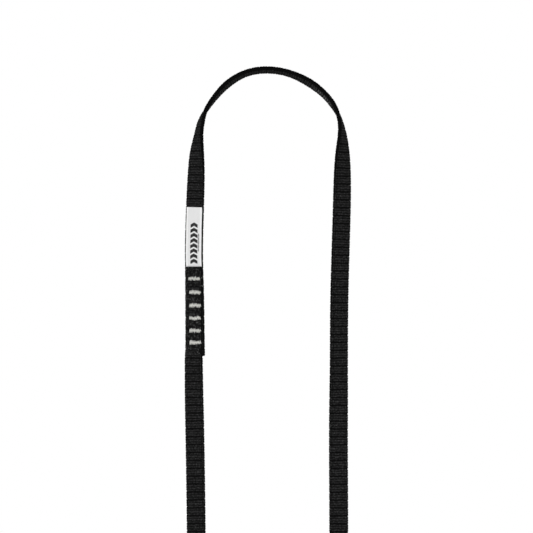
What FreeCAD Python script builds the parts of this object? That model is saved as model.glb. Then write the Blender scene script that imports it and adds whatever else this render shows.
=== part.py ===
import FreeCAD, Part
import Sketcher
import math
import os

# A sewn sling: one strip of narrow woven webbing closed into a loop by a bar-tacked lap, with a
# woven label. It lies on a table: z = 0 is the table, +Y runs along the loop towards its top
# bend, and the loop is centred on X and Y. In the two bends the strip stands on edge; along the
# strands it twists down until it lies flat. Everything here is in millimetres and degrees.

PARTS_FOLDER = "parts"

SIZES = [
    ("webbing_width", 12.0),        # woven width of the strip
    ("webbing_thickness", 2.6),
    ("selvedge_chamfer", 0.7),      # rounding of the woven edges
    ("twist_centre", 226.0),        # distance from the centre at which the strip is half turned
    ("twist_softness", 20.7),       # how gradually it turns there
    ("bend_roll", 94.0),            # roll in the middle of a bend, just past standing on edge
    ("bend_lean", 5.5),             # how far past upright it leans at the four shoulders
    ("shoulder_offset", 27.0),      # sideways distance of a shoulder from the loop's axis
    ("shoulder_spread", 9.0),
    ("lean_start", 235.0),          # distances from the centre between which the lean builds up
    ("lean_end", 255.0),
    ("right_bend_x", 48.9),         # strand centre where the right strand leaves the top bend
    ("flat_roll", 18.0),            # roll that is left at the lap and beside it
    ("upper_flat_start", 40.0),     # the strands lie flat from here ...
    ("upper_flat_end", 84.0),       # ... and hold flat_roll from here up
    ("lower_flat_start", 130.0),    # the same two distances on the lower half
    ("lower_flat_end", 175.0),
    ("seam_start", 85.8),           # y at the bottom of the lap
    ("seam_start_x", -47.85),
    ("seam_end", 188.0),            # y at the top of the straight stretch above the lap
    ("seam_end_x", -48.0),
    ("lap_length", 60.0),           # the two layers overlap over this length
    ("lap_end_margin", 1.0),        # the under layer stops this far above seam_start
    ("top_layer_shift", 0.6),       # sideways shift of each layer of the lap
    ("under_layer_shift", 0.1),
    ("seam_lift", 0.25),            # the tacks hold the lap this far off the table
    ("step_length", 13.0),          # the top layer comes down to the table over this length
    ("lower_run_length", 55.0),     # flat stretch below the fold line
    ("fold_line", -75.0),           # y of the line the loop folds about
    ("fold_gap", 0.2),
    ("left_run_x_upper", -48.15),   # strand centres where the flat runs start and end
    ("left_run_x_fold", -46.9),
    ("left_run_x_lower", -47.5),
    ("right_run_x_upper", 46.7),
    ("right_run_x_fold", 46.6),
    ("right_run_x_lower", 47.2),
    ("tack_width", 8.2),            # across the webbing
    ("tack_shift", 1.4),            # the tacks sit this far towards the inner edge
    ("tack_length", 2.6),           # along the webbing
    ("tack_height", 0.7),           # thickness of a packed row of thread
    ("tack_sink", 0.35),            # how deep it is pulled into the cloth
    ("first_tack", 10.2),           # distance of the lowest tack from seam_start
    ("tack_pitch", 7.9),            # step from the first tack to the second
    ("tack_pitch_growth", 0.24),    # each later step is longer by this much
    ("stitch_leg", 0.6),            # side of the square bundle of thread through the cloth
    ("stitch_step", 3.3),           # between legs across the webbing
    ("stitch_rows", 1.6),           # between the two rows of legs
    ("label_width", 10.8),
    ("label_thickness", 0.4),
    ("label_shift", 0.45),
    ("label_tuck", 46.0),           # local y of the tucked end of the label
    ("label_hinge", 62.6),          # local y of the crease above the lap
    ("label_end", 99.1),            # local y of its free end
    ("label_gap", 0.12),            # play between the free part and its neighbours
]

TACK_COUNT = 6
LEGS_PER_ROW = 3

# Centre line of the strip in plan, from the cut end under the lap, up the left strand, round the
# top bend, down the right strand, round the bottom bend and back up to the other cut end.
ROUTE = [
    (-47.7, 87), (-47.85, 130), (-48.75, 157), (-47.8, 188), (-47.05, 207), (-46.55, 223.5),
    (-44, 242.5), (-37.3, 254.3), (-25.7, 267.3), (-10.5, 275), (9, 275), (27.2, 267.2),
    (42.2, 254.8), (49.1, 239.5), (49.2, 214), (48.95, 188), (48.1, 157), (47.25, 121),
    (46.85, 72), (46.6, 28), (46.95, -25), (46.6, -85), (47.4, -145), (48.4, -195),
    (47.8, -233), (42, -252), (29, -267), (11.5, -275), (-10.5, -275), (-28, -267.5),
    (-41, -252), (-47.2, -232), (-48.6, -190), (-47.6, -140), (-46.9, -85), (-47.1, -30),
    (-47.85, 25), (-48.8, 72), (-48.4, 100), (-48.3, 145.8),
]

doc = FreeCAD.newDocument("sewn_sling")
sheet = doc.addObject("Spreadsheet::Sheet", "sizes")
SUB_PARTS = []


def fill_sheet():
    for row, (name, value) in enumerate(SIZES, start=1):
        sheet.set(f"A{row}", name)
        sheet.set(f"B{row}", str(value))
        sheet.setAlias(f"B{row}", name)
    doc.recompute()


def size(name):
    return float(sheet.get(name))


def keep(item, label):
    item.Label = label
    SUB_PARTS.append(item)
    return item


# ---------------------------------------------------------------- the strip's route and roll

def route_curve():
    poles = [FreeCAD.Vector(x, y, 0) for x, y in ROUTE]
    inner_knots = len(poles) - 3
    knots = [float(knot) for knot in range(inner_knots + 2)]
    mults = [3] + [1] * inner_knots + [3]
    curve = Part.BSplineCurve()
    curve.buildFromPolesMultsKnots(poles, mults, knots, False, 2)
    return curve


def smooth_step(value, low, high):
    share = min(max((value - low) / (high - low), 0.0), 1.0)
    return share * share * (3 - 2 * share)


def roll_at(x, y):
    """Degrees from lying flat: 90 is standing on edge with the outer face outward."""
    distance = abs(y)
    half = "upper" if y > 0 else "lower"
    turn = (size("bend_roll") - size("flat_roll")) / 2
    main = turn * (1 + math.tanh((distance - size("twist_centre")) / size("twist_softness")))
    start = size(half + "_flat_start")
    end = size(half + "_flat_end")
    from_shoulder = (abs(x) - size("shoulder_offset")) / size("shoulder_spread")
    beyond_twist = smooth_step(distance, size("lean_start"), size("lean_end"))
    lean = size("bend_lean") * math.exp(-from_shoulder ** 2) * beyond_twist
    return main + size("flat_roll") * smooth_step(distance, start, end) + lean


def cross_section_points():
    half = size("webbing_width") / 2
    rise = size("webbing_thickness") / 2
    cut = size("selvedge_chamfer")
    return [
        (-half, -rise + cut), (-half + cut, -rise), (half - cut, -rise), (half, -rise + cut),
        (half, rise - cut), (half - cut, rise), (-half + cut, rise), (-half, rise - cut),
    ]


def strip_frame(point, along, roll, lift=0.0):
    """Placement whose X runs across the strip, inwards, Y along it and Z out of its outer face,
    at the height where the strip's lowest edge is `lift` above the table."""
    along = FreeCAD.Vector(along.x, along.y, 0).normalize()
    inward = FreeCAD.Vector(along.y, -along.x, 0)
    up = FreeCAD.Vector(0, 0, 1)
    turn = math.radians(roll)
    across = inward * math.cos(turn) + up * math.sin(turn)
    outward = up * math.cos(turn) - inward * math.sin(turn)
    depth = max(-(a * across.z + b * outward.z) for a, b in cross_section_points())
    rotation = FreeCAD.Rotation(across, along, outward, "ZXY")
    return FreeCAD.Placement(FreeCAD.Vector(point.x, point.y, depth + lift), rotation)


def route_parameters(curve, start, end, step):
    """Evenly spaced parameters of the route between the points nearest to start and end."""
    first = curve.parameter(FreeCAD.Vector(*start, 0))
    last = curve.parameter(FreeCAD.Vector(*end, 0))
    count = max(2, math.ceil(curve.length(first, last) / step))
    return [first + (last - first) * index / count for index in range(count + 1)]


def route_frames(curve, start, end, step, lift=None):
    frames = []
    for parameter in route_parameters(curve, start, end, step):
        point = curve.value(parameter)
        tangent = curve.tangent(parameter)[0]
        rise = lift(point.y) if lift else 0.0
        frames.append(strip_frame(point, tangent, roll_at(point.x, point.y), rise))
    return frames


def section_wire(frame):
    corners = [frame.multVec(FreeCAD.Vector(a, 0, b)) for a, b in cross_section_points()]
    return Part.makePolygon(corners + corners[:1])


def twisted_webbing(label, frames):
    """A stretch that twists as it turns, which no pad or sweep follows: a ruled loft."""
    item = doc.addObject("Part::Feature", label)
    item.Shape = Part.makeLoft([section_wire(frame) for frame in frames], True, True)
    return keep(item, label)


# ---------------------------------------------------------------- sketches and plain solids

def origin_plane(body, role):
    return next(item for item in body.Origin.OriginFeatures if item.Role == role)


def add_rectangle(sketch, width, height, left, bottom):
    """One rectangle, its sides and its lower left corner bound to sheet expressions."""
    first = sketch.GeometryCount
    corners = [FreeCAD.Vector(x, y, 0) for x, y in ((0, 0), (1, 0), (1, 1), (0, 1))]
    for index in range(4):
        sketch.addGeometry(Part.LineSegment(corners[index], corners[(index + 1) % 4]), False)
    for index in range(4):
        following = first + (index + 1) % 4
        sketch.addConstraint(Sketcher.Constraint("Coincident", first + index, 2, following, 1))
    for index, kind in enumerate(("Horizontal", "Vertical", "Horizontal", "Vertical")):
        sketch.addConstraint(Sketcher.Constraint(kind, first + index))
    bound = [
        (Sketcher.Constraint("DistanceX", first, 1, first, 2, 1.0), width),
        (Sketcher.Constraint("DistanceY", first + 1, 1, first + 1, 2, 1.0), height),
        (Sketcher.Constraint("DistanceX", -1, 1, first, 1, 1.0), left),
        (Sketcher.Constraint("DistanceY", -1, 1, first, 1, 1.0), bottom),
    ]
    for constraint, expression in bound:
        index = sketch.addConstraint(constraint)
        sketch.setExpression(f"Constraints[{index}]", expression)


def new_sketch(body, role, offset):
    """A sketch on one of the body's own origin planes, raised along its normal by `offset`."""
    sketch = body.newObject("Sketcher::SketchObject", body.Name + "_sketch")
    sketch.AttachmentSupport = [(origin_plane(body, role), "")]
    sketch.MapMode = "FlatFace"
    sketch.setExpression("AttachmentOffset.Base.z", offset)
    return sketch


def new_pad(body, sketch, length, reverse=False):
    pad = body.newObject("PartDesign::Pad", body.Name + "_pad")
    pad.Profile = sketch
    pad.Reversed = reverse
    pad.setExpression("Length", length)
    doc.recompute()
    return pad


def new_body(name, placement):
    body = doc.addObject("PartDesign::Body", name)
    body.Placement = placement
    return body


def slab(name, placement, across, start, length, height):
    """A flat bar: `across` and `height` are (low side, size) across it and out of its face."""
    body = new_body(name, placement)
    sketch = new_sketch(body, "XZ_Plane", f"-({start})")
    add_rectangle(sketch, across[1], height[1], across[0], height[0])
    pad = new_pad(body, sketch, length, reverse=True)
    return body, pad


def webbing_slab(name, placement, middle, start, length, low_face):
    """A straight length of webbing with its four long corners taken off."""
    across = (f"{middle} - sizes.webbing_width / 2", "sizes.webbing_width")
    height = (low_face, "sizes.webbing_thickness")
    body, pad = slab(name, placement, across, start, length, height)
    long_edges = []
    for index, edge in enumerate(pad.Shape.Edges, start=1):
        if abs(edge.tangentAt(edge.FirstParameter).y) > 0.99:
            long_edges.append(f"Edge{index}")
    chamfer = body.newObject("PartDesign::Chamfer", name + "_selvedges")
    chamfer.Base = (pad, long_edges)
    chamfer.setExpression("Size", "sizes.selvedge_chamfer")
    doc.recompute()
    return body


def cut(name, base, tool):
    item = doc.addObject("Part::Cut", name)
    item.Base = base
    item.Tool = tool
    doc.recompute()
    return item


# ---------------------------------------------------------------- flat runs of the strands

FLAT_HEIGHT = "-sizes.webbing_thickness / 2"


def flat_run(label, start, end, length):
    """A stretch that lies flat on the table, from one strand centre to another."""
    start = FreeCAD.Vector(*start, 0)
    placement = strip_frame(start, FreeCAD.Vector(*end, 0) - start, 0)
    return keep(webbing_slab(label, placement, "0", "0", length, FLAT_HEIGHT), label)


def make_flat_runs():
    upper = size("upper_flat_start")
    lower = size("fold_line") - size("lower_run_length")
    above = size("fold_line") + size("fold_gap") / 2
    below = size("fold_line") - size("fold_gap") / 2
    upper_length = "sizes.upper_flat_start - sizes.fold_line - sizes.fold_gap / 2"
    lower_length = "sizes.lower_run_length - sizes.fold_gap / 2"
    left = [size("left_run_x_" + place) for place in ("upper", "fold", "lower")]
    right = [size("right_run_x_" + place) for place in ("upper", "fold", "lower")]
    flat_run("webbing_left_run", (left[1], above), (left[0], upper), upper_length)
    flat_run("webbing_right_run", (right[0], upper), (right[1], above), upper_length)
    flat_run("webbing_lower_left", (left[2], lower), (left[1], below), lower_length)
    flat_run("webbing_lower_right", (right[1], below), (right[2], lower), lower_length)
    return left, right, upper, lower


def slab_end(body, local_y, middle=0.0, centre=0.0):
    """The frame of a straight piece's cross section at one distance along it."""
    offset = FreeCAD.Vector(middle, local_y, centre)
    return body.Placement.multiply(FreeCAD.Placement(offset, FreeCAD.Rotation()))


# ---------------------------------------------------------------- the sewn lap

def seam_placement():
    """X across the strip, inwards, Y up the strand, Z outward; z = 0 is between the layers."""
    start = FreeCAD.Vector(size("seam_start_x"), size("seam_start"), 0)
    end = FreeCAD.Vector(size("seam_end_x"), size("seam_end"), 0)
    frame = strip_frame(start, end - start, size("flat_roll"), size("seam_lift"))
    to_face = FreeCAD.Vector(-size("under_layer_shift"), 0, size("webbing_thickness") / 2)
    return frame.multiply(FreeCAD.Placement(to_face, FreeCAD.Rotation()))


def tack_places():
    place = size("first_tack")
    step = size("tack_pitch")
    places = []
    for _ in range(TACK_COUNT):
        places.append(place)
        place += step
        step += size("tack_pitch_growth")
    return places


def tack_thread(label, placement, bar_bottom, legs_bottom):
    """One thread of a bar tack: a packed bar on the face and its legs through one layer."""
    body = new_body(label, placement)
    bar = new_sketch(body, "XY_Plane", bar_bottom)
    add_rectangle(bar, "sizes.tack_width", "sizes.tack_length",
                  "-sizes.tack_width / 2", "-sizes.tack_length / 2")
    new_pad(body, bar, "sizes.tack_height")
    legs = new_sketch(body, "XY_Plane", legs_bottom)
    for row in (-1, 1):
        for column in range(LEGS_PER_ROW):
            offset = column - (LEGS_PER_ROW - 1) / 2
            add_rectangle(legs, "sizes.stitch_leg", "sizes.stitch_leg",
                          f"{offset} * sizes.stitch_step - sizes.stitch_leg / 2",
                          f"{row} * sizes.stitch_rows / 2 - sizes.stitch_leg / 2")
    new_pad(body, legs, "sizes.webbing_thickness - sizes.tack_sink")
    return keep(body, label)


def make_threads(seam):
    needle = []
    bobbin = []
    sunk_face = "(sizes.webbing_thickness - sizes.tack_sink)"
    for index, place in enumerate(tack_places(), start=1):
        offset = FreeCAD.Placement(FreeCAD.Vector(size("tack_shift"), place, 0),
                                   FreeCAD.Rotation())
        placement = seam.multiply(offset)
        needle.append(tack_thread(f"needle_thread_{index}", placement, sunk_face, "0"))
        bobbin_bar = f"-{sunk_face} - sizes.tack_height"
        bobbin.append(tack_thread(f"bobbin_thread_{index}", placement, bobbin_bar,
                                  f"-{sunk_face}"))
    return needle, bobbin


def group(name, items):
    item = doc.addObject("Part::Compound", name)
    item.Links = items
    doc.recompute()
    return item


def label_slab(name, seam, start, end, low_face):
    across = ("sizes.label_shift - sizes.label_width / 2", "sizes.label_width")
    height = (low_face, "sizes.label_thickness")
    return slab(name, seam, across, start, f"{end} - ({start})", height)[0]


def make_seam():
    seam = seam_placement()
    needle, bobbin = make_threads(seam)
    needle_threads = group("needle_threads", needle)
    bobbin_threads = group("bobbin_threads", bobbin)
    tail_blank = label_slab("label_tail_blank", seam, "sizes.label_tuck",
                            "(sizes.label_hinge - sizes.label_gap)", "0")
    flap = label_slab("label_flap", seam, "sizes.label_hinge + sizes.label_gap",
                      "sizes.label_end", "sizes.label_gap")
    straight = math.hypot(size("seam_end") - size("seam_start"),
                          size("seam_end_x") - size("seam_start_x"))
    under_blank = webbing_slab("under_blank", seam, "sizes.under_layer_shift",
                               "sizes.lap_end_margin", f"{straight} - sizes.lap_end_margin",
                               "-sizes.webbing_thickness")
    top_blank = webbing_slab("top_blank", seam, "sizes.top_layer_shift", "0",
                             "sizes.lap_length", "0")
    keep(cut("under_strand", under_blank, bobbin_threads), "webbing_under_end")
    recessed = cut("recessed_top", top_blank, tail_blank)
    keep(cut("top_strand", recessed, needle_threads), "webbing_lap_end")
    keep(cut("label_tail", tail_blank, needle_threads), "label_tail")
    keep(flap, "label_flap")
    half = size("webbing_thickness") / 2
    upper_end = slab_end(under_blank, straight, size("under_layer_shift"), -half)
    lap_bottom = slab_end(top_blank, 0, size("top_layer_shift"), half)
    return upper_end, lap_bottom


# ---------------------------------------------------------------- twisted stretches

def make_twists(runs, upper_end, lap_bottom):
    left, right, upper, lower = runs
    curve = route_curve()
    margin = 4.0
    seam_margin = 2.0
    coarse = 8.0
    fine = 5.0
    bend_end = size("seam_end")
    left_top = (size("seam_end_x"), bend_end + margin)
    right_top = (size("right_bend_x"), bend_end)
    turn = route_frames(curve, left_top, right_top, fine)
    twisted_webbing("webbing_top_bend", [upper_end] + turn)
    run = doc.getObject("webbing_right_run")
    descent = route_frames(curve, right_top, (right[0], upper + margin), coarse)
    twisted_webbing("webbing_right_twist", descent + [slab_end(run, 0)])
    rise = lap_bottom.Base.z - strip_frame(lap_bottom.Base, FreeCAD.Vector(0, 1, 0),
                                           size("flat_roll")).Base.z
    seam = size("seam_start")
    step = size("step_length")
    ramp_end = (lap_bottom.Base.x, seam - seam_margin)
    ramp = route_frames(curve, (left[0], upper + margin), ramp_end, margin,
                        lambda y: rise * smooth_step(y, seam - step, seam))
    run = doc.getObject("webbing_left_run")
    start = slab_end(run, upper - size("fold_line") - size("fold_gap") / 2)
    twisted_webbing("webbing_left_ramp", [start] + ramp + [lap_bottom])
    lower_turn = route_frames(curve, (right[2], lower - margin), (left[2], lower - margin), fine)
    far_side = doc.getObject("webbing_lower_right")
    near_side = doc.getObject("webbing_lower_left")
    far_end = slab_end(far_side, size("lower_run_length") - size("fold_gap") / 2)
    twisted_webbing("webbing_bottom_bend", [far_end] + lower_turn + [slab_end(near_side, 0)])
    return curve


# ---------------------------------------------------------------- checks and files

def check_document():
    doc.recompute()
    for item in doc.Objects:
        if {"Invalid", "Error"} & set(item.State):
            raise RuntimeError(f"{item.Name} failed: {item.State}")
    for item in SUB_PARTS:
        if item.Shape.isNull() or not item.Shape.isValid():
            raise RuntimeError(f"{item.Label} has no valid shape")
        if len(item.Shape.Solids) != 1:
            raise RuntimeError(f"{item.Label} is {len(item.Shape.Solids)} solids")


def report(curve):
    webbing = [item for item in SUB_PARTS if item.Label.startswith("webbing")]
    volume = sum(item.Shape.Volume for item in webbing)
    area = Part.Face(section_wire(FreeCAD.Placement())).Area
    print("strip length", round(curve.length(), 1), "from volume", round(volume / area, 1))
    radii = [1 / max(curve.curvature(p), 1e-9) for p in route_parameters(
        curve, ROUTE[0], ROUTE[-1], 5.0)]
    print("tightest bend radius", round(min(radii), 1))
    box = FreeCAD.BoundBox()
    for item in SUB_PARTS:
        box.add(item.Shape.BoundBox)
    print("box", [round(v, 2) for v in (box.XMin, box.YMin, box.ZMin, box.XMax, box.YMax, box.ZMax)])
    print("pieces", len(SUB_PARTS))


def export():
    os.makedirs(PARTS_FOLDER, exist_ok=True)
    for item in SUB_PARTS:
        item.Shape.exportStep(os.path.join(PARTS_FOLDER, item.Label + ".step"))


def main():
    fill_sheet()
    upper_end, lap_bottom = make_seam()
    runs = make_flat_runs()
    curve = make_twists(runs, upper_end, lap_bottom)
    check_document()
    report(curve)
    export()


main()
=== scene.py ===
import math

import bpy
import numpy as np
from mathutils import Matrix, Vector


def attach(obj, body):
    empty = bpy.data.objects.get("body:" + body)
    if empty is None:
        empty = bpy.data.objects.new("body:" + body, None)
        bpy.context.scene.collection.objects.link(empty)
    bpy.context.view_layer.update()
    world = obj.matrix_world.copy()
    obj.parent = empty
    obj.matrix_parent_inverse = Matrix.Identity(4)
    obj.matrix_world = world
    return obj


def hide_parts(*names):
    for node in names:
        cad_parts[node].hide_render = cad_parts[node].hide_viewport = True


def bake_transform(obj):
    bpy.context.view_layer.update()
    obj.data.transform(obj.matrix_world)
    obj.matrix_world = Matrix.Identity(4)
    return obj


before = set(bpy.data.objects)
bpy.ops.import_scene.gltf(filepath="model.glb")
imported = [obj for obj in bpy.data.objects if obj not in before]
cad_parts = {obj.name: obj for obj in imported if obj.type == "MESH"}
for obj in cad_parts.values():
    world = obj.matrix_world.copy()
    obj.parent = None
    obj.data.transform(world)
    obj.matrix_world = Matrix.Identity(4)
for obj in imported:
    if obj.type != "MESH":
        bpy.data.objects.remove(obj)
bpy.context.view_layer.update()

MM = 0.001

# The visible meshes of a sewn webbing sling that lies on a table: one webbing strip, one woven
# label and six bar tacks of two threads each. x is across the loop, y along it and z up.
# Lengths are in millimetres unless a comment says otherwise.

# ---------------------------------------------------------------- driving dimensions, in mm

WIDTH = 12.7                # over the crowns of the edge cords; the strip is woven 12 mm wide
THICKNESS = 3.0             # over the crowns of the ribs
RIB_PITCH = 1.735           # one weft rib; every third groove is deeper
RIB_STEPS = 4               # stations along one rib
GROOVE = 0.13
DEEP_GROOVE = 0.28
YARN_PITCH = 0.46           # warp yarns across the face
SELVEDGE_LINE = 4.5         # distance of the edge cords' seam from the middle

TWIST_CENTRE = 226.0        # distance from the middle of the loop where the strip is half turned
TWIST_SOFTNESS = 20.7
FLAT_ROLL = 18.0            # roll left in the strands beside the lap
UPPER_FLAT = (40.0, 84.0)   # distances between which that roll fades out, in the upper half
LOWER_FLAT = (130.0, 175.0)
BEND_ROLL = 95.5            # in the middle of a bend, just past standing on edge
BEND_START = (235.0, 255.0)         # distance from the middle where a strand becomes the bend
LEFT_LEAN = (-27.0, 9.0, 3.5)       # x, spread and extra degrees of the bends' left shoulders
RIGHT_LEAN = (29.5, 10.5, 5.8)
LEFT_TWIST = (241.0, 6.0, -6.0)     # y, spread and extra degrees where the left strand turns
RIGHT_TWIST = (253.0, 5.0, 3.5)

UNDER_LENGTH = 75.0         # of the strip's start that can lie under its other end
FIRST_PASS = 150.0          # of the strip's start, all on the left strand
STEP = (73.0, 86.0)         # y between which the top layer comes down to the table
LAYER_RISE = 2.85           # middle of the top layer above the middle of the under layer
CORNER_RADIUS = 0.6         # of the woven edge that a turned strip stands on

TACK_WIDTH = 8.3
TACK_LENGTH = 2.6
TACK_SHIFT = 1.4            # towards the inner edge
TACK_DRIFT = (0.1, 0.0, -0.1, 0.05, 0.0, -0.55)     # each tack's own error, from the lowest
TACK_COUNT = 6
FIRST_TACK = 96.0           # y of the lowest tack
TACK_PITCH = 7.9
TACK_PITCH_GROWTH = 0.24
THREAD = 0.46               # thread diameter

LABEL_WIDTH = 10.8
LABEL_THICKNESS = 0.34
LABEL_TOP = 184.9           # y of its free end
LABEL_TUCK = 131.8          # y of its sewn end
LABEL_SHIFT = 0.35          # towards the inner edge

# Centre line of the strip in plan, in metres, from the cut end under the lap, up the left
# strand, round the top bend and down the right strand, round the bottom bend and back up.
ROUTE = [
    (-0.0473, 0.087), (-0.0477, 0.128), (-0.04885, 0.154), (-0.0478, 0.188),
    (-0.04705, 0.207), (-0.04655, 0.2235), (-0.044, 0.2425), (-0.0373, 0.2543),
    (-0.0257, 0.2673), (-0.0105, 0.275), (0.009, 0.275), (0.0275, 0.2674),
    (0.0419, 0.2550), (0.0492, 0.2395), (0.0492, 0.214), (0.04895, 0.188),
    (0.0480, 0.157), (0.0470, 0.121), (0.04685, 0.072), (0.0466, 0.028),
    (0.04695, -0.025), (0.0466, -0.085), (0.0474, -0.145), (0.0484, -0.195),
    (0.0478, -0.233), (0.042, -0.252), (0.029, -0.267), (0.0115, -0.275),
    (-0.0105, -0.275), (-0.028, -0.2675), (-0.041, -0.252), (-0.0472, -0.232),
    (-0.0486, -0.190), (-0.0476, -0.140), (-0.0469, -0.085), (-0.0471, -0.030),
    (-0.04785, 0.025), (-0.0488, 0.072), (-0.0484, 0.100), (-0.0487, 0.1458),
]


# ---------------------------------------------------------------- camera, light and floor

def make_camera():
    """Straight above the upper part of the loop."""
    height = 1.06
    cloth_height = 0.0013
    seen_width = 0.3518         # of the picture, at the cloth's height
    aim_x = -0.0008
    aim_y = 0.1459
    data = bpy.data.cameras.new("camera")
    data.sensor_width = 36
    data.lens = data.sensor_width * (height - cloth_height) / seen_width
    camera = bpy.data.objects.new("camera", data)
    camera.location = (aim_x, aim_y, height)
    bpy.context.scene.collection.objects.link(camera)
    bpy.context.scene.camera = camera


def make_light(name, place, target, size, power):
    """A square area lamp that points at a target."""
    data = bpy.data.lights.new(name, "AREA")
    data.size = size
    data.energy = power
    lamp = bpy.data.objects.new(name, data)
    lamp.location = place
    aim = Vector(target) - Vector(place)
    lamp.rotation_euler = aim.to_track_quat("-Z", "Y").to_euler()
    bpy.context.scene.collection.objects.link(lamp)


def make_studio():
    """A white room with a soft lamp above, a low one at the left, and a pale floor."""
    bpy.context.scene.world = white_room()
    bpy.context.scene.view_settings.view_transform = "Standard"
    make_light("overhead", place=(0.5, 0.1, 1.6), target=(0, 0, 0), size=1.4, power=25)
    make_light("side", place=(-1.3, 0.05, 0.28), target=(0, 0.2, 0), size=0.4, power=8)
    below_cloth = -0.0001
    bpy.ops.mesh.primitive_plane_add(size=12, location=(0, 0, below_cloth))
    floor = bpy.context.object
    floor.name = "floor"
    floor.data.materials.append(floor_material())


def white_room():
    """Dim light from all round, from walls that the camera sees overexposed."""
    world = bpy.data.worlds.new("studio")
    world.use_nodes = True
    tree = world.node_tree
    dim = tree.nodes["Background"]
    dim.inputs["Color"].default_value = (1, 1, 1, 1)
    dim.inputs["Strength"].default_value = 0.22
    bright = tree.nodes.new("ShaderNodeBackground")
    bright.inputs["Color"].default_value = (1, 1, 1, 1)
    join_by_sight(tree, dim, bright, tree.nodes["World Output"])
    return world


def join_by_sight(tree, lighting, seen, output):
    """The camera sees `seen`; every other ray meets `lighting`."""
    sight = tree.nodes.new("ShaderNodeLightPath")
    mix = tree.nodes.new("ShaderNodeMixShader")
    tree.links.new(sight.outputs["Is Camera Ray"], mix.inputs[0])
    tree.links.new(lighting.outputs[0], mix.inputs[1])
    tree.links.new(seen.outputs[0], mix.inputs[2])
    tree.links.new(mix.outputs[0], output.inputs["Surface"])


def floor_material():
    """A dull sheet that the camera sees as overexposed white, without shadows."""
    material = bpy.data.materials.new("pale_floor")
    material.use_nodes = True
    tree = material.node_tree
    shader = tree.nodes["Principled BSDF"]
    shader.inputs["Base Color"].default_value = (0.35, 0.35, 0.35, 1)
    shader.inputs["Roughness"].default_value = 0.8
    glow = tree.nodes.new("ShaderNodeEmission")
    join_by_sight(tree, shader, glow, tree.nodes["Material Output"])
    return material


# ---------------------------------------------------------------- the strip's line and frames

def smooth_step(value, low, high):
    """From 0 at the low limit to 1 at the high one, level at both."""
    share = np.clip((value - low) / (high - low), 0.0, 1.0)
    return share * share * (3 - 2 * share)


def route_line():
    """Points along the route's smooth curve, in mm, from a NURBS spline of its points."""
    data = bpy.data.curves.new("route", "CURVE")
    data.dimensions = "3D"
    data.resolution_u = 48
    spline = data.splines.new("NURBS")
    spline.points.add(len(ROUTE) - 1)
    for point, (x, y) in zip(spline.points, ROUTE):
        point.co = (x, y, 0, 1)
    spline.order_u = 3
    spline.use_endpoint_u = True
    holder = bpy.data.objects.new("route", data)
    mesh = bpy.data.meshes.new_from_object(holder)
    line = np.array([vertex.co for vertex in mesh.vertices]) / MM
    bpy.data.objects.remove(holder)
    bpy.data.meshes.remove(mesh)
    bpy.data.curves.remove(data)
    return line


def roll_at(x, y):
    """Degrees from lying flat: 90 stands on edge, outer face outward."""
    distance = np.abs(y)
    turn = (BEND_ROLL - FLAT_ROLL) / 2
    main = turn * (1 + np.tanh((distance - TWIST_CENTRE) / TWIST_SOFTNESS))
    upper = smooth_step(distance, *UPPER_FLAT)
    lower = smooth_step(distance, *LOWER_FLAT)
    lean = swell(x, *LEFT_LEAN) + swell(x, *RIGHT_LEAN)
    lean = lean * smooth_step(distance, *BEND_START)
    extra = np.where(x > 0, swell(y, *RIGHT_TWIST), swell(y, *LEFT_TWIST))
    return main + FLAT_ROLL * np.where(y > 0, upper, lower) + lean + extra


def swell(value, centre, spread, height):
    """A smooth hump of the given height round a centre."""
    return height * np.exp(-((value - centre) / spread) ** 2)


class Strip:
    """The webbing's centre line with a frame at every station: `across` points inwards,
    `out` is the normal of the outer face, both unit vectors in the row frame."""

    def __init__(self):
        line = route_line()
        steps = np.linalg.norm(np.diff(line, axis=0), axis=1)
        run = np.concatenate([[0.0], np.cumsum(steps)])
        self.length = run[-1]
        count = int(round(self.length / RIB_PITCH)) * RIB_STEPS
        self.s = np.linspace(0, self.length, count + 1)
        self.x = np.interp(self.s, run, line[:, 0])
        self.y = np.interp(self.s, run, line[:, 1])
        roll = np.radians(roll_at(self.x, self.y))
        self.turn_frames(line, run, roll)
        self.z = self.resting_height(roll)
        self.top_layer = (self.s > self.length / 2) & (self.x < 0) & (self.y > 0)
        self.lift_top_layer()

    def turn_frames(self, line, run, roll):
        """Turn the frame about the line by the roll: `across` upwards, `out` outwards."""
        slope = np.gradient(line[:, :2], run, axis=0)
        tx = np.interp(self.s, run, slope[:, 0])
        ty = np.interp(self.s, run, slope[:, 1])
        size = np.hypot(tx, ty)
        inward = np.stack([ty / size, -(tx / size), 0 * tx], axis=1)
        up = np.array([0.0, 0.0, 1.0])
        self.across = inward * np.cos(roll)[:, None] + up * np.sin(roll)[:, None]
        self.out = up * np.cos(roll)[:, None] - inward * np.sin(roll)[:, None]

    def resting_height(self, roll):
        """Height of the centre line when the strip's lower edge touches the table."""
        half = WIDTH / 2 - CORNER_RADIUS
        corner = CORNER_RADIUS * np.maximum(np.sin(roll), 0)
        return half * np.sin(roll) + THICKNESS / 2 * np.cos(roll) + corner

    def lift_top_layer(self):
        """The top layer lies on the under layer, then steps down to the table."""
        under = self.s < UNDER_LENGTH
        y_under = self.y[under]
        top = self.top_layer
        middle = np.clip(self.y[top], y_under[0], y_under[-1])
        x_under = np.interp(middle, y_under, self.x[under])
        z_under = np.interp(middle, y_under, self.z[under])
        out = self.out[top]
        sideways = (self.x[top] - x_under) * out[:, 0]
        on_lap = z_under + (LAYER_RISE - sideways) / out[:, 2]
        share = smooth_step(self.y[top], *STEP)
        self.z[top] = self.z[top] * (1 - share) + on_lap * share

    def centre(self):
        """The points of the centre line."""
        return np.stack([self.x, self.y, self.z], axis=1)

    def at(self, s):
        """Centre, across and out at one or more distances along the strip."""
        centre = self.centre()
        parts = [centre, self.across, self.out]
        return [np.stack([np.interp(s, self.s, p[:, k]) for k in range(3)], axis=-1) for p in parts]


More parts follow.
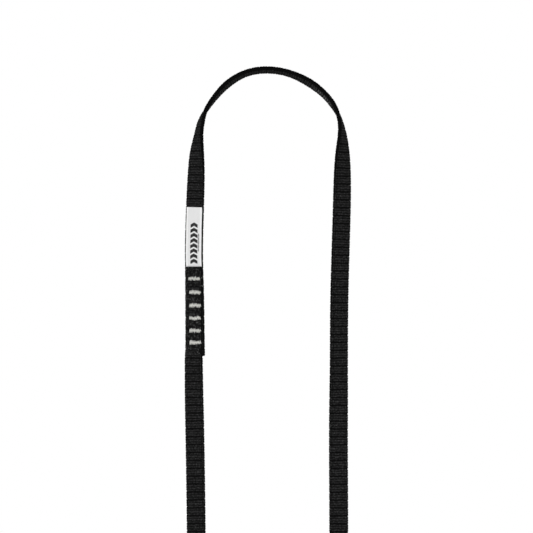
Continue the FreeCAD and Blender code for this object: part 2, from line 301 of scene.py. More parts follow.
def strand_distance(strip, y, first):
    """Distance along the strip of a y on the left strand: on its first or its last pass."""
    chosen = strip.s < FIRST_PASS if first else strip.top_layer
    return float(np.interp(y, strip.y[chosen], strip.s[chosen]))


def tack_heights():
    """The y of every bar tack, from the lowest up."""
    places = []
    place = FIRST_TACK
    step = TACK_PITCH
    for _ in range(TACK_COUNT):
        places.append(place)
        place += step
        step += TACK_PITCH_GROWTH
    return places


# ---------------------------------------------------------------- mesh helpers

def build_mesh(name, points, faces, uv, uv_name):
    """A mesh object from points in mm, quads and one UV pair per face corner."""
    mesh = bpy.data.meshes.new(name)
    mesh.from_pydata((np.asarray(points) * MM).tolist(), [], faces)
    layer = mesh.uv_layers.new(name=uv_name)
    layer.data.foreach_set("uv", np.asarray(uv, np.float32).ravel())
    mesh.polygons.foreach_set("use_smooth", [True] * len(mesh.polygons))
    mesh.update()
    piece = bpy.data.objects.new(name, mesh)
    bpy.context.scene.collection.objects.link(piece)
    return piece


def tube_faces(rings, sides, u, v):
    """Quads and UV corners of a closed tube with flat caps; u per side, v per ring."""
    faces = []
    uv = []
    for i in range(rings - 1):
        for j in range(sides):
            k = (j + 1) % sides
            faces.append((i * sides + j, i * sides + k, (i + 1) * sides + k, (i + 1) * sides + j))
            uv += [(u[j], v[i]), (u[j + 1], v[i]), (u[j + 1], v[i + 1]), (u[j], v[i + 1])]
    faces.append(tuple(reversed(range(sides))))
    uv += [(u[j], v[0]) for j in reversed(range(sides))]
    last = (rings - 1) * sides
    faces.append(tuple(last + j for j in range(sides)))
    uv += [(u[j], v[-1]) for j in range(sides)]
    return faces, uv


# ---------------------------------------------------------------- webbing

FACE_OFFSETS = (0.6, 1.8, 3.0, 4.1, 4.5, 4.9)       # from the middle, closer at the seam
FACE_POINTS = 2 * len(FACE_OFFSETS)
EDGE_START = 5.35           # offset where the rounded woven edge begins
EDGE_ANGLES = (-62, -30, 0, 30, 62)
EDGE_POINTS = len(EDGE_ANGLES)
STITCHED_LENGTH = 57.0      # of the top layer, from its cut end down past the lowest tack
GROOVE_NARROWNESS = 2.6     # a groove takes up the inverse of this each side of its middle
GROOVE_CHANCE = (0.8, 0.4)  # smallest share of its depth that a groove has, and the random rest
FACING = 0.99               # a point is on a face if its normal points that squarely out of it
SEAM_DEPTH = 0.10           # of the fine seams beside the edge cords
SEAM_SPREAD = 0.3
YARN_UNEVENNESS = 0.02
EDGE_SCALLOP = 1.6          # the edges are drawn in further than the faces at each groove
PUCKER = 0.34               # unevenness of the stitched part's faces
TACK_PINCH = 0.02           # share of its width that the strip loses at a tack
TACK_REACH = 1.7            # how far along the strip a tack pulls
TACK_SINK = 0.38            # how deep it pulls the face in
SINK_EDGE = (3.6, 5.2)      # offsets between which that sinking fades out
LAP_START = (84.0, 92.0)    # y between which the top layer narrows to its stitched width
LAP_NARROWING = 0.055       # share of the width that it loses
END_TAPER = 0.9             # length of the rounded bead at a cut end
END_NARROWING = 0.015
CORD_STEP = 3 * RIB_STEPS   # stations between points of the cord's path
WEBBING_SEED = 11


def ring_profile():
    """Points round the strip's section: (a, b) in mm, the outward normal and the girth u."""
    face = [-a for a in reversed(FACE_OFFSETS)] + list(FACE_OFFSETS)
    rise = THICKNESS / 2
    points = [(a, -rise, 0.0, -1.0) for a in face]
    points += edge_profile(EDGE_START, 0)
    points += [(a, rise, 0.0, 1.0) for a in reversed(face)]
    points += edge_profile(-EDGE_START, 180)
    table = np.array(points)
    following = np.roll(table[:, :2], -1, axis=0)
    girth = np.concatenate([[0.0], np.cumsum(np.linalg.norm(following - table[:, :2], axis=1))])
    return table, girth


def edge_profile(start, turn):
    """Points round one woven edge, which begins at an offset and faces `turn` degrees."""
    points = []
    bulge = WIDTH / 2 - EDGE_START
    for angle in EDGE_ANGLES:
        cosine = math.cos(math.radians(turn + angle))
        sine = math.sin(math.radians(turn + angle))
        points.append((start + bulge * cosine, THICKNESS / 2 * sine, cosine, sine))
    return points


def rib_relief(s, chance):
    """Depth in mm of the weft grooves at distance s; each groove has its own chance depth."""
    phase = s / RIB_PITCH
    nearest = np.round(phase)
    hollow = np.clip(1 - GROOVE_NARROWNESS * np.abs(phase - nearest), 0, 1)
    third = (nearest % 3) == 0
    least, rest = GROOVE_CHANCE
    depth = np.where(third, DEEP_GROOVE, GROOVE) * (least + rest * chance[nearest.astype(int)])
    return depth * hollow


def section_offsets(strip, profile, rng):
    """Offsets across the strip and out of it, in mm, of every point of every section."""
    count = len(strip.s)
    sides = len(profile)
    a0, b0, na, nb = (profile[None, :, k] for k in range(4))
    chance = rng.rand(int(strip.length / RIB_PITCH) + 3)
    depth = rib_relief(strip.s[:, None], chance) * np.ones_like(a0)
    on_face = np.abs(nb) > FACING
    seam = np.exp(-((np.abs(a0) - SELVEDGE_LINE) / SEAM_SPREAD) ** 2)
    depth = depth + np.where(on_face, SEAM_DEPTH * seam, 0.0)
    depth = depth + YARN_UNEVENNESS * rng.rand(count, sides)
    squeeze = tack_squeeze(strip)
    width = (width_factor(strip) - TACK_PINCH * squeeze)[:, None]
    a = a0 * width - na * depth * EDGE_SCALLOP
    b = b0 - nb * depth + tack_dents(strip, squeeze, a0, nb)
    seam_start = strip.length - STITCHED_LENGTH
    stitched = smooth_step(strip.s, seam_start, seam_start + 3)[:, None]
    b = b + nb * on_face * stitched * PUCKER * (rng.rand(count, sides) - 0.5)
    return round_cut_ends(strip, a, b)


def make_webbing(strip):
    """The whole strip as one mesh, from cut end to cut end."""
    profile, girth = ring_profile()
    a, b = section_offsets(strip, profile, np.random.RandomState(WEBBING_SEED))
    centre = strip.centre()
    points = (centre[:, None, :] + strip.across[:, None, :] * a[:, :, None]
              + strip.out[:, None, :] * b[:, :, None])
    points[:, :, 2] = np.maximum(points[:, :, 2], 0.0)
    faces, uv = tube_faces(len(strip.s), len(profile), girth, strip.s)
    piece = build_mesh("webbing", points.reshape(-1, 3), faces, np.array(uv), "strip")
    piece.data.materials.append(webbing_material(strip))
    webbing_nodes = [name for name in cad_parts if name.startswith("webbing")]
    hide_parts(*webbing_nodes)
    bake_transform(piece)
    path = centre[::CORD_STEP] * MM
    path = np.vstack([path, centre[-1:] * MM])


def width_factor(strip):
    """Share of the full width: the top layer of the lap is drawn in by its stitching."""
    narrow = np.where(strip.top_layer, smooth_step(strip.y, *LAP_START), 0.0)
    return 1 - LAP_NARROWING * narrow


def tack_squeeze(strip):
    """From 0 to 1: how much a bar tack pulls the cloth in at each station."""
    near = np.zeros(len(strip.s))
    on_lap = (strip.s < UNDER_LENGTH) | strip.top_layer
    for place in tack_heights():
        near = np.maximum(near, np.exp(-((strip.y - place) / TACK_REACH) ** 2))
    return np.where(on_lap, near, 0.0)


def tack_dents(strip, squeeze, a0, nb):
    """Each tack sinks the outward face of each layer, between the edge cords."""
    inside = 1 - smooth_step(np.abs(a0), *SINK_EDGE)
    under = np.where(strip.s < UNDER_LENGTH, -1.0, 0.0)
    side = np.where(strip.top_layer, 1.0, under)[:, None]
    facing = (side * nb) > FACING
    return np.where(facing, -side * TACK_SINK * squeeze[:, None] * inside, 0.0)


def round_cut_ends(strip, a, b):
    """Heat-cut ends: the last fraction of a millimetre tapers to a rounded bead."""
    from_end = np.minimum(strip.s, strip.length - strip.s)
    missing = 1 - np.clip(from_end / END_TAPER, 0, 1)
    taper = np.sqrt(np.clip(1 - missing ** 2, 0.25, 1))[:, None]
    return a * (1 - END_NARROWING * (1 - taper)), b * taper


def node(tree, kind, **settings):
    """A new shader node with its settings."""
    made = tree.nodes.new(kind)
    for name, value in settings.items():
        setattr(made, name, value)
    return made


def math_node(tree, operation, first, second=0.0, third=0.0, clamp=False):
    """The output of a math node; each operand is a number or another node's output."""
    made = node(tree, "ShaderNodeMath", operation=operation, use_clamp=clamp)
    for index, value in enumerate((first, second, third)):
        if isinstance(value, (int, float)):
            made.inputs[index].default_value = value
        else:
            tree.links.new(value, made.inputs[index])
    return made.outputs[0]


def uv_coordinates(tree, uv_name):
    """The two UV coordinates of a named map, which hold millimetres on the cloth."""
    uv = node(tree, "ShaderNodeUVMap", uv_map=uv_name)
    split = node(tree, "ShaderNodeSeparateXYZ")
    tree.links.new(uv.outputs["UV"], split.inputs[0])
    return uv.outputs["UV"], split.outputs["X"], split.outputs["Y"]


def noise(tree, vector, scale, detail=2.0):
    """Smooth noise from 0 to 1, with `scale` patches to the millimetre."""
    made = node(tree, "ShaderNodeTexNoise")
    made.inputs["Scale"].default_value = scale
    made.inputs["Detail"].default_value = detail
    tree.links.new(vector, made.inputs["Vector"])
    return made.outputs["Fac"]


def colour_ramp(tree, factor, stops):
    """A colour that runs through the stops: pairs of a place and a grey or an RGB colour."""
    ramp = node(tree, "ShaderNodeValToRGB")
    elements = ramp.color_ramp.elements
    while len(elements) < len(stops):
        elements.new(0.5)
    for element, (place, colour) in zip(elements, stops):
        rgb = colour if isinstance(colour, tuple) else (colour, colour, colour)
        element.position = place
        element.color = (*rgb, 1)
    tree.links.new(factor, ramp.inputs["Fac"])
    return ramp.outputs["Color"]


def new_material(name, roughness, specular):
    """A material with its node tree and its shader; the cloth has no sheen."""
    material = bpy.data.materials.new(name)
    material.use_nodes = True
    shader = material.node_tree.nodes["Principled BSDF"]
    shader.inputs["Roughness"].default_value = roughness
    shader.inputs["Specular IOR Level"].default_value = specular
    return material, material.node_tree, shader


def add_bump(tree, shader, height, distance, strength=1.0):
    """Bump the shader's normal by a height, one unit of which is `distance` metres."""
    bump = node(tree, "ShaderNodeBump")
    bump.inputs["Distance"].default_value = distance
    bump.inputs["Strength"].default_value = strength
    tree.links.new(height, bump.inputs["Height"])
    tree.links.new(bump.outputs["Normal"], shader.inputs["Normal"])


# Tones of the black cloth: what each feature adds to its shade or takes from it.
CLOTH_TONE = 0.31
YARN_TONE = 0.22
FIBRE_TONE = 0.45
# painted shade in the grooves, and extra painted shade in every third groove
GROOVE_PAINTED_SHADE = 0.50
THIRD_GROOVE_PAINTED_SHADE = 0.90
# painted shade on the woven edges
EDGE_PAINTED_SHADE = 0.85
SEAM_DOT_TONE = 0.7
STITCHED_TONE = 0.30
FLOAT_TONE = 0.22
PUCKER_TONE = 1.3
# painted highlight: a glint on the ribs of the right shoulder's inner face
PAINTED_GLINT_TONE = 3.8
SHADE_SCALE = 0.5
SHADE_COLOURS = [(0.0, 0.0012), (0.225, 0.0088), (0.5, 0.038), (1.0, 0.16)]

WANDER = 1.2                # how far the grooves wander along the strip
YARN_SWAY = 0.9             # of the yarns from side to side, in radians of their own pitch
STITCHED_SMOOTHING = 0.7    # share of their shade that the grooves lose where it is stitched
PUCKER_LENGTH = 0.8         # of the yarn floats in the stitched part
BUMP_DEPTH = 0.00012        # in metres


def webbing_material(strip):
    """Black webbing: fine warp yarns dipping under the weft ribs, with painted shade in the
    grooves, more in every third and broken up where the yarns float over it. The woven edges carry
    painted shade, with a dotted seam beside the inner one, the ribs of the right shoulder's inner
    face carry a painted glint, and the stitched part of the top layer is puckered."""
    material, tree, shader = new_material("black_webbing", roughness=0.7, specular=0.05)
    uv, u, v = uv_coordinates(tree, "strip")
    stitched = math_node(tree, "GREATER_THAN", v, strip.length - STITCHED_LENGTH)
    wander = math_node(tree, "MULTIPLY_ADD", noise(tree, uv, 0.4), WANDER, v)
    rib, third = groove_painted_shade(tree, uv, wander, stitched)
    yarn_angle, yarn = yarn_shade(tree, u, v)
    fibre = noise(tree, uv, 6.0, detail=3.0)
    light = math_node(tree, "MULTIPLY_ADD", yarn, YARN_TONE, CLOTH_TONE)
    light = math_node(tree, "ADD", float_shade(tree, uv, yarn_angle, wander, stitched), light)
    light = math_node(tree, "MULTIPLY_ADD", fibre, FIBRE_TONE, light)
    # A painted glint on the ribs of the right shoulder's inner face.
    light = math_node(tree, "ADD", painted_glint_ribs(tree, strip, uv, u, v), light)
    # Painted shade in the grooves.
    dark = math_node(tree, "MULTIPLY_ADD", rib, GROOVE_PAINTED_SHADE, third)
    # Painted shade on the woven edges, and the dotted seam.
    dark = math_node(tree, "ADD", painted_edge_shade_and_seam(tree, u, v), dark)
    dark = math_node(tree, "MULTIPLY_ADD", stitched, STITCHED_TONE, dark)
    shade = math_node(tree, "SUBTRACT", light, dark)
    shade = math_node(tree, "MULTIPLY", shade, SHADE_SCALE, clamp=True)
    tree.links.new(colour_ramp(tree, shade, SHADE_COLOURS), shader.inputs["Base Color"])
    add_bump(tree, shader, cloth_height(tree, yarn, rib, fibre), BUMP_DEPTH)
    return material


def cloth_height(tree, yarn, rib, fibre):
    """Height of the cloth's surface: up with the yarns and fibres, down in the grooves."""
    crowns = math_node(tree, "MULTIPLY", yarn, 0.5)
    grooves = math_node(tree, "MULTIPLY", rib, 0.6)
    height = math_node(tree, "SUBTRACT", crowns, grooves)
    return math_node(tree, "MULTIPLY_ADD", fibre, 0.25, height)


def groove_painted_shade(tree, uv, wander, stitched):
    """Painted shade in the grooves: in every one, and extra in every third. Both are uneven
    along the grooves and weaker where the cloth is stitched."""
    plain = math_node(tree, "MULTIPLY_ADD", stitched, -STITCHED_SMOOTHING, 1.0)
    patches = noise(tree, uv, 0.8, detail=1.0)
    uneven = math_node(tree, "MULTIPLY_ADD", patches, 1.6, 0.2)
    broken = math_node(tree, "MULTIPLY_ADD", patches, 2.6, -0.5, clamp=True)
    broken = math_node(tree, "MULTIPLY", broken, THIRD_GROOVE_PAINTED_SHADE)
    rib = math_node(tree, "MULTIPLY", cosine_wave(tree, wander, RIB_PITCH, 1.5), plain)
    rib = math_node(tree, "MULTIPLY", rib, uneven)
    third = math_node(tree, "MULTIPLY", cosine_wave(tree, wander, 3 * RIB_PITCH, 9.0), plain)
    third = math_node(tree, "MULTIPLY", third, broken)
    return rib, third


def yarn_shade(tree, u, v):
    """The phase of the warp yarns across the strip, and the lightness of their crowns. Each
    yarn sways to one side and back over two ribs."""
    turn = math_node(tree, "MULTIPLY", v, math.pi / RIB_PITCH)
    sway = math_node(tree, "MULTIPLY", math_node(tree, "SINE", turn), YARN_SWAY)
    angle = math_node(tree, "MULTIPLY_ADD", u, 2 * math.pi / YARN_PITCH, sway)
    crown = math_node(tree, "MULTIPLY_ADD", math_node(tree, "SINE", angle), 0.5, 0.5)
    return angle, crown


def float_shade(tree, uv, yarn_angle, wander, stitched):
    """Uneven lightness of the warp yarns, stronger and finer where the cloth is stitched."""
    speckle = math_node(tree, "SUBTRACT", noise(tree, uv, 1.1, detail=1.0), 0.5)
    tone = float_tones(tree, yarn_angle, wander, RIB_PITCH)
    speckle = math_node(tree, "MULTIPLY_ADD", tone, FLOAT_TONE, speckle)
    contrast = math_node(tree, "MULTIPLY_ADD", stitched, 1.1, 1.5)
    pucker = float_tones(tree, yarn_angle, wander, PUCKER_LENGTH)
    pucker = math_node(tree, "MULTIPLY", pucker, stitched)
    pucker = math_node(tree, "MULTIPLY", pucker, PUCKER_TONE)
    return math_node(tree, "MULTIPLY_ADD", speckle, contrast, pucker)


def painted_glint_ribs(tree, strip, uv, u, v):
    """Painted highlight: the inner face of the right shoulder is made lighter on the crests of its
    ribs, a painted glint in light flecks.
    """
    shoulder_x = 26
    shoulder_y = 244
    inner_face = (0.0, 9.0)
    turned = strip.s[(strip.x > shoulder_x) & (strip.y > shoulder_y)]
    middle = (turned[0] + turned[-1]) / 2
    reach = (turned[-1] - turned[0]) / 2
    along = math_node(tree, "MULTIPLY_ADD", v, 1 / reach, -middle / reach)
    window = math_node(tree, "SUBTRACT", 1.0, math_node(tree, "ABSOLUTE", along), clamp=True)
    window = math_node(tree, "MULTIPLY", window, between(tree, u, *inner_face))
    crest = math_node(tree, "SUBTRACT", 1.0, cosine_wave(tree, v, RIB_PITCH, 0.7))
    glint = math_node(tree, "MULTIPLY", crest, noise(tree, uv, 0.9, detail=1.0))
    glint = math_node(tree, "MULTIPLY", glint, PAINTED_GLINT_TONE)
    return math_node(tree, "MULTIPLY", window, glint)


def float_tones(tree, yarn_angle, wander, length):
    """A random tone, from -0.5 to 0.5, for each float of a warp yarn, `length` mm long."""
    column = math_node(tree, "FLOOR", math_node(tree, "MULTIPLY", yarn_angle, 0.5 / math.pi))
    row = math_node(tree, "FLOOR", math_node(tree, "MULTIPLY", wander, 1 / length))
    cell = node(tree, "ShaderNodeCombineXYZ")
    tree.links.new(column, cell.inputs[0])
    tree.links.new(row, cell.inputs[1])
    tone = node(tree, "ShaderNodeTexWhiteNoise", noise_dimensions="2D")
    tree.links.new(cell.outputs[0], tone.inputs["Vector"])
    return math_node(tree, "SUBTRACT", tone.outputs["Value"], 0.5)


def painted_edge_shade_and_seam(tree, u, v):
    """Painted shade on the two woven edges, and the darkness of the dotted seam beside the inner
    edge, from the coordinate round the strip and the one along it."""
    girth = ring_profile()[1]
    inner_edge = (girth[FACE_POINTS - 1] + girth[FACE_POINTS + EDGE_POINTS]) / 2
    inner_seam = girth[FACE_POINTS + EDGE_POINTS + 1]
    turn = 4 * math.pi / girth[-1]
    angle = math_node(tree, "MULTIPLY_ADD", u, turn, -turn * inner_edge)
    edge = math_node(tree, "COSINE", angle)
    # Only the wave's crests count, where it passes 0.78.
    edge = math_node(tree, "MULTIPLY_ADD", edge, 10.0, -7.8, clamp=True)
    near = math_node(tree, "ABSOLUTE", math_node(tree, "SUBTRACT", u, inner_seam))
    # The seam fades out 0.45 mm to each side.
    near = math_node(tree, "MULTIPLY_ADD", near, -2.2, 1.0, clamp=True)
    dots = math_node(tree, "MULTIPLY", near, cosine_wave(tree, v, RIB_PITCH, 1.5))
    dots = math_node(tree, "MULTIPLY", dots, SEAM_DOT_TONE)
    return math_node(tree, "MULTIPLY_ADD", edge, EDGE_PAINTED_SHADE, dots)


def cosine_wave(tree, value, pitch, sharpness):
    """Narrow crests, from 0 to 1, at every multiple of pitch."""
    angle = math_node(tree, "MULTIPLY", value, 2 * math.pi / pitch)
    wave = math_node(tree, "MULTIPLY_ADD", math_node(tree, "COSINE", angle), 0.5, 0.5)
    return math_node(tree, "POWER", wave, sharpness)


# ---------------------------------------------------------------- woven label

LABEL_ROWS = 96
LABEL_COLUMNS = 18
LABEL_GAP = 0.05            # between the tape and the cloth
LABEL_FREE = 18.0           # length of tape beyond which it is clear of the top layer
LABEL_RISE = 0.06           # extra gap there
LABEL_CURL = 0.5            # lift of its free end
CURL_LENGTH = 3.0
LABEL_WANDER = 0.05         # sideways unevenness
EDGE_THINNING = 0.10        # share of its thickness that the tape loses at its margins
LABEL_SEED = 5
MARGIN_START = 4.3          # distance from the tape's middle where its whiter margins begin
LABEL_WEFT_PITCH = 0.28
LABEL_WARP_PITCH = 0.34

# The mark: for each row of shapes its pitch, the share of the pitch that is dark, and its
# limits across the tape and along it.
CHEVRON_PITCH = 3.4
CHEVRON_SHARE = 0.67
CHEVRON_ACROSS = (-2.3, 2.7)
CHEVRON_ALONG = (16.0, 43.0)
CHEVRON_MIDDLE = 0.2
CHEVRON_SLOPE = 0.55
DASH_PITCH = 0.9
DASH_SHARE = 0.6
DASH_ACROSS = (2.95, 3.85)
DASH_ALONG = (23.8, 35.7)


def make_label(strip):
    """A thin tape on the under layer: tucked under the top layer, its other end free."""
    s_low = strand_distance(strip, LABEL_TUCK, True)
    s_high = strand_distance(strip, LABEL_TOP, True)
    along = np.linspace(s_low, s_high, LABEL_ROWS)
    u = np.linspace(-LABEL_WIDTH / 2, LABEL_WIDTH / 2, LABEL_COLUMNS)
    faces, uv = sheet_faces(LABEL_ROWS, LABEL_COLUMNS, u, along - s_low)
    label = build_mesh("label", label_points(strip, along, u), faces, uv, "tape")
    label.data.materials.append(label_material())
    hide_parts("label_tail", "label_flap")
    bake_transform(label)


def label_points(strip, along, u):
    """The tape's upper skin and then its lower one, row by row up the strand, from each row's
    distance along the strip and each column's distance from the tape's middle."""
    rng = np.random.RandomState(LABEL_SEED)
    half = u[-1]
    knots = np.linspace(along[0], along[-1], 9)
    drift = np.interp(along, knots, LABEL_WANDER * rng.randn(len(knots)))
    clearance = THICKNESS / 2 + LABEL_GAP + LABEL_RISE * (along - along[0] > LABEL_FREE)
    curl = LABEL_CURL * np.clip(1 - (along[-1] - along) / CURL_LENGTH, 0, 1) ** 2
    thickness = LABEL_THICKNESS * (1 - EDGE_THINNING * np.abs(u / half) ** 6)
    upper = []
    lower = []
    for i, (centre, across, out) in enumerate(zip(*strip.at(along))):
        for j, sideways in enumerate(u):
            cupped = 0.4 + 0.6 * (sideways / half) ** 2
            low = centre + across * (sideways + LABEL_SHIFT + drift[i])
            low = low + out * (clearance[i] + curl[i] * cupped)
            lower.append(low)
            upper.append(low + out * thickness[j])
    return np.array(upper + lower)


def sheet_faces(rows, columns, u, v):
    """A closed sheet: its upper skin, then its lower skin, joined round the rim."""
    faces = []
    uv = []
    lower = rows * columns

    def corner(i, j):
        return (u[j], v[i])

    for i in range(rows - 1):
        for j in range(columns - 1):
            p = i * columns + j
            quad = [(p, i, j), (p + 1, i, j + 1), (p + columns + 1, i + 1, j + 1),
                    (p + columns, i + 1, j)]
            faces.append(tuple(q[0] for q in quad))
            uv += [corner(q[1], q[2]) for q in quad]
            faces.append(tuple(lower + q[0] for q in reversed(quad)))
            uv += [corner(q[1], q[2]) for q in reversed(quad)]
    rim = [(0, j) for j in range(columns)] + [(i, columns - 1) for i in range(1, rows)]
    rim += [(rows - 1, j) for j in range(columns - 2, -1, -1)]
    rim += [(i, 0) for i in range(rows - 2, 0, -1)]
    for index, (i, j) in enumerate(rim):
        k, m = rim[(index + 1) % len(rim)]
        p, q = i * columns + j, k * columns + m
        faces.append((q, p, lower + p, lower + q))
        uv += [corner(k, m), corner(i, j), corner(i, j), corner(k, m)]
    return faces, np.array(uv)


def label_material():
    """White satin-woven tape, whiter at its two margins, with a plain woven mark."""
    material, tree, shader = new_material("label_tape", roughness=0.55, specular=0.2)
    uv, u, v = uv_coordinates(tree, "tape")
    tau = 2 * math.pi
    weft = math_node(tree, "SINE", math_node(tree, "MULTIPLY", v, tau / LABEL_WEFT_PITCH))
    warp = math_node(tree, "SINE", math_node(tree, "MULTIPLY", u, tau / LABEL_WARP_PITCH))
    weave = math_node(tree, "MULTIPLY_ADD", math_node(tree, "MULTIPLY", weft, warp), 0.5, 0.5)
    fibre = noise(tree, uv, 5.0, 3.0)
    tone = math_node(tree, "MULTIPLY_ADD", weave, 0.35, math_node(tree, "MULTIPLY", fibre, 0.65))
    margin = math_node(tree, "GREATER_THAN", math_node(tree, "ABSOLUTE", u), MARGIN_START)
    pale = math_node(tree, "MULTIPLY_ADD", margin, 0.4, tone)
    cloth = colour_ramp(tree, pale, [(0.0, 0.64), (0.6, 0.755), (1.0, 0.92)])
    ink = colour_ramp(tree, tone, [(0.0, 0.012), (1.0, 0.035)])
    mark = generic_mark(tree, u, v)
    mix = node(tree, "ShaderNodeMix", data_type="RGBA")
    tree.links.new(mark, mix.inputs[0])
    tree.links.new(cloth, mix.inputs[6])
    tree.links.new(ink, mix.inputs[7])
    tree.links.new(mix.outputs[2], shader.inputs["Base Color"])
    add_bump(tree, shader, weave, 0.00004, 0.8)
    return material


def between(tree, value, low, high):
    """1 where a value lies between two limits, 0 elsewhere."""
    above = math_node(tree, "GREATER_THAN", value, low)
    below = math_node(tree, "LESS_THAN", value, high)
    return math_node(tree, "MULTIPLY", above, below)


def generic_mark(tree, u, v):
    """A row of chevrons along the tape, and a row of fine dashes beside them."""
    lean = math_node(tree, "ABSOLUTE", math_node(tree, "SUBTRACT", u, CHEVRON_MIDDLE))
    slanted = math_node(tree, "MULTIPLY_ADD", lean, CHEVRON_SLOPE, v)
    chevrons = repeats(tree, slanted, CHEVRON_PITCH, CHEVRON_SHARE)
    window = math_node(tree, "MULTIPLY", between(tree, u, *CHEVRON_ACROSS),
                       between(tree, v, *CHEVRON_ALONG))
    chevrons = math_node(tree, "MULTIPLY", chevrons, window)
    dashes = repeats(tree, v, DASH_PITCH, DASH_SHARE)
    window = math_node(tree, "MULTIPLY", between(tree, u, *DASH_ACROSS),
                       between(tree, v, *DASH_ALONG))
    dashes = math_node(tree, "MULTIPLY", dashes, window)
    return math_node(tree, "MAXIMUM", chevrons, dashes)


def repeats(tree, value, pitch, share):
    """1 over the given share of every pitch, 0 over the rest."""
    phase = math_node(tree, "FRACT", math_node(tree, "DIVIDE", value, pitch))
    return between(tree, phase, 0.0, share)


# ---------------------------------------------------------------- bar tacks

FRONT_THROWS = 19           # of the needle thread, across the face
BACK_THROWS = 17
PADDING_POINTS = 5          # of the run along the tack that the throws are sewn over
PADDING_UNEVENNESS = 0.125
HOLE_UNEVENNESS = 0.05
THROW_UNEVENNESS = 0.22     # share of a throw's length
INNER_TAPER = 0.5           # share of its length that the last throw loses at the inner end
OUTER_TAPER = 0.1
THREAD_SUNK = 0.33          # the thread's heights start this far under the cloth's face
HOLE_DEPTH = 0.32           # of the thread at a hole, below that level
THROW_RISE = (0.18, 0.44)   # of the padding run and of the throws over it, above that level
THROW_STEPS = 9
THREAD_SIDES = 8
TACK_SEED = 40
PLY_TWIST = 1.1             # length of one turn of the two plies
PLY_PITCH = 0.55            # along the thread, of the shade between plies


def throws(rng, front):
    """Hole-to-hole points of one tack's thread in the tack's own plane: x across, y along,
    and 0 for the padding run or 1 for the throws over it."""
    half = TACK_WIDTH / 2 - THREAD / 2
    reach = TACK_LENGTH / 2
    points = []
    for x in np.linspace(-half, half, PADDING_POINTS):
        points.append((x, PADDING_UNEVENNESS * rng.randn(), 0))
    count = FRONT_THROWS if front else BACK_THROWS
    for index, x in enumerate(np.linspace(half, -half, count)):
        side = 1 if index % 2 else -1
        ragged = 1 + THROW_UNEVENNESS * rng.randn()
        taper = 1 - (INNER_TAPER if x > 0 else OUTER_TAPER) * abs(x / half) ** 6
        y = side * reach * ragged * taper
        points.append((x + HOLE_UNEVENNESS * rng.randn(), y, 1))
    return points


def stitch_path(rng, front):
    """The thread's centre line: each throw arches over the cloth between two holes."""
    holes = throws(rng, front)
    path = []
    for (x0, y0, k0), (x1, y1, k1) in zip(holes[:-1], holes[1:]):
        rise = THROW_RISE[max(k0, k1)]
        for step in range(THROW_STEPS):
            t = step / THROW_STEPS
            arch = 4 * t * (1 - t)
            height = -HOLE_DEPTH + (rise + HOLE_DEPTH) * arch ** 0.4
            path.append((x0 + (x1 - x0) * t, y0 + (y1 - y0) * t, height))
    path.append((holes[-1][0], holes[-1][1], -HOLE_DEPTH))
    return np.array(path)


def thread_tube(path, radius, sides):
    """Points of a two-ply thread along a path, with its plies showing as a slow twist, and
    the distance along it."""
    slope = np.gradient(path, axis=0)
    slope /= np.linalg.norm(slope, axis=1)[:, None]
    side = np.cross(slope, np.array([0.0, 0.0, 1.0]))
    short = np.linalg.norm(side, axis=1) < 0.2
    side[short] = np.array([1.0, 0.0, 0.0])
    side /= np.linalg.norm(side, axis=1)[:, None]
    lift = np.cross(side, slope)
    run = np.concatenate([[0.0], np.cumsum(np.linalg.norm(np.diff(path, axis=0), axis=1))])
    angle = np.arange(sides) * 2 * math.pi / sides
    twist = run[:, None] * 2 * math.pi / PLY_TWIST
    girth = radius * (0.88 + 0.12 * np.cos(2 * (angle[None, :] - twist)))
    points = (path[:, None, :] + side[:, None, :] * (girth * np.cos(angle))[:, :, None]
              + lift[:, None, :] * (girth * np.sin(angle))[:, :, None])
    return points.reshape(-1, 3), run


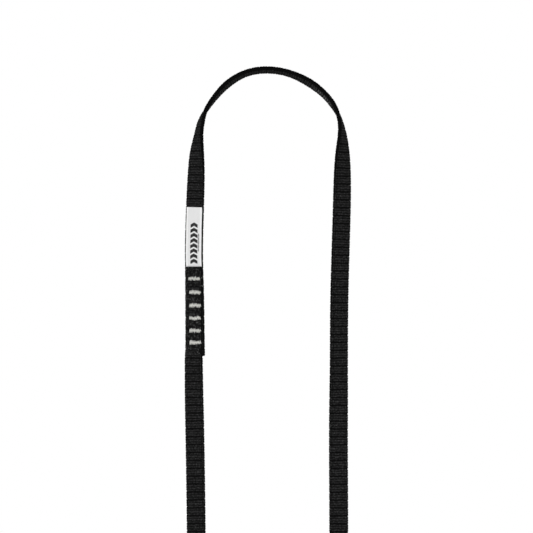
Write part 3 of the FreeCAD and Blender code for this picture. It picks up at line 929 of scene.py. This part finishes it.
def make_tack(strip, index, place, front, material):
    """One thread of one bar tack, on the front of the top layer or behind the under layer."""
    rng = np.random.RandomState(TACK_SEED + index * 2 + int(front))
    path = stitch_path(rng, front)
    local, run = thread_tube(path, THREAD / 2, THREAD_SIDES)
    origin, axes = tack_frame(strip, index, place, front)
    points = origin + local @ axes
    if not front:
        points[:, 2] = np.maximum(points[:, 2], 0.01)
    girth = np.linspace(0, math.pi * THREAD, THREAD_SIDES + 1)
    faces, uv = tube_faces(len(path), THREAD_SIDES, girth, run)
    name = f"{'needle' if front else 'bobbin'}_thread_{index}"
    piece = build_mesh("stitched_" + name, points, faces, np.array(uv), "thread")
    piece.data.materials.append(material)
    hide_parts(name)
    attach(piece, "upper_loop")


def tack_frame(strip, index, place, front):
    """Where one tack's thread sits: a point just under its face, and the directions across
    the strip, along it and out of the face as the rows of a matrix."""
    s = strand_distance(strip, place, not front)
    centre, across, out = (part[0] for part in strip.at(np.array([s])))
    facing = 1.0 if front else -1.0
    origin = centre + out * facing * (THICKNESS / 2 - THREAD_SUNK)
    origin = origin + across * (TACK_SHIFT + TACK_DRIFT[index - 1])
    return origin, np.array([across, np.cross(out, across), facing * out])


def thread_material():
    """Pale grey twisted filament thread, darker between its plies."""
    material, tree, shader = new_material("tack_thread", roughness=0.5, specular=0.25)
    uv, u, v = uv_coordinates(tree, "thread")
    spiral = math_node(tree, "MULTIPLY_ADD", v, 2 * math.pi / PLY_PITCH,
                       math_node(tree, "MULTIPLY", u, 2 * math.pi / THREAD))
    ply = math_node(tree, "MULTIPLY_ADD", math_node(tree, "SINE", spiral), 0.5, 0.5)
    fibre = noise(tree, uv, 3.0, 3.0)
    tone = math_node(tree, "MULTIPLY_ADD", ply, 0.4, math_node(tree, "MULTIPLY", fibre, 0.6))
    low = (0.42, 0.42, 0.39)
    high = (0.85, 0.85, 0.81)
    colour = colour_ramp(tree, tone, [(0.0, low), (1.0, high)])
    tree.links.new(colour, shader.inputs["Base Color"])
    add_bump(tree, shader, ply, 0.00005, 0.7)
    return material


def make_tacks(strip):
    """Every bar tack's needle and bobbin thread, all of one material."""
    material = thread_material()
    for index, place in enumerate(tack_heights(), start=1):
        make_tack(strip, index, place, True, material)
        make_tack(strip, index, place, False, material)


# ---------------------------------------------------------------- assembly

make_camera()
make_studio()
strip = Strip()
make_webbing(strip)
make_label(strip)
make_tacks(strip)
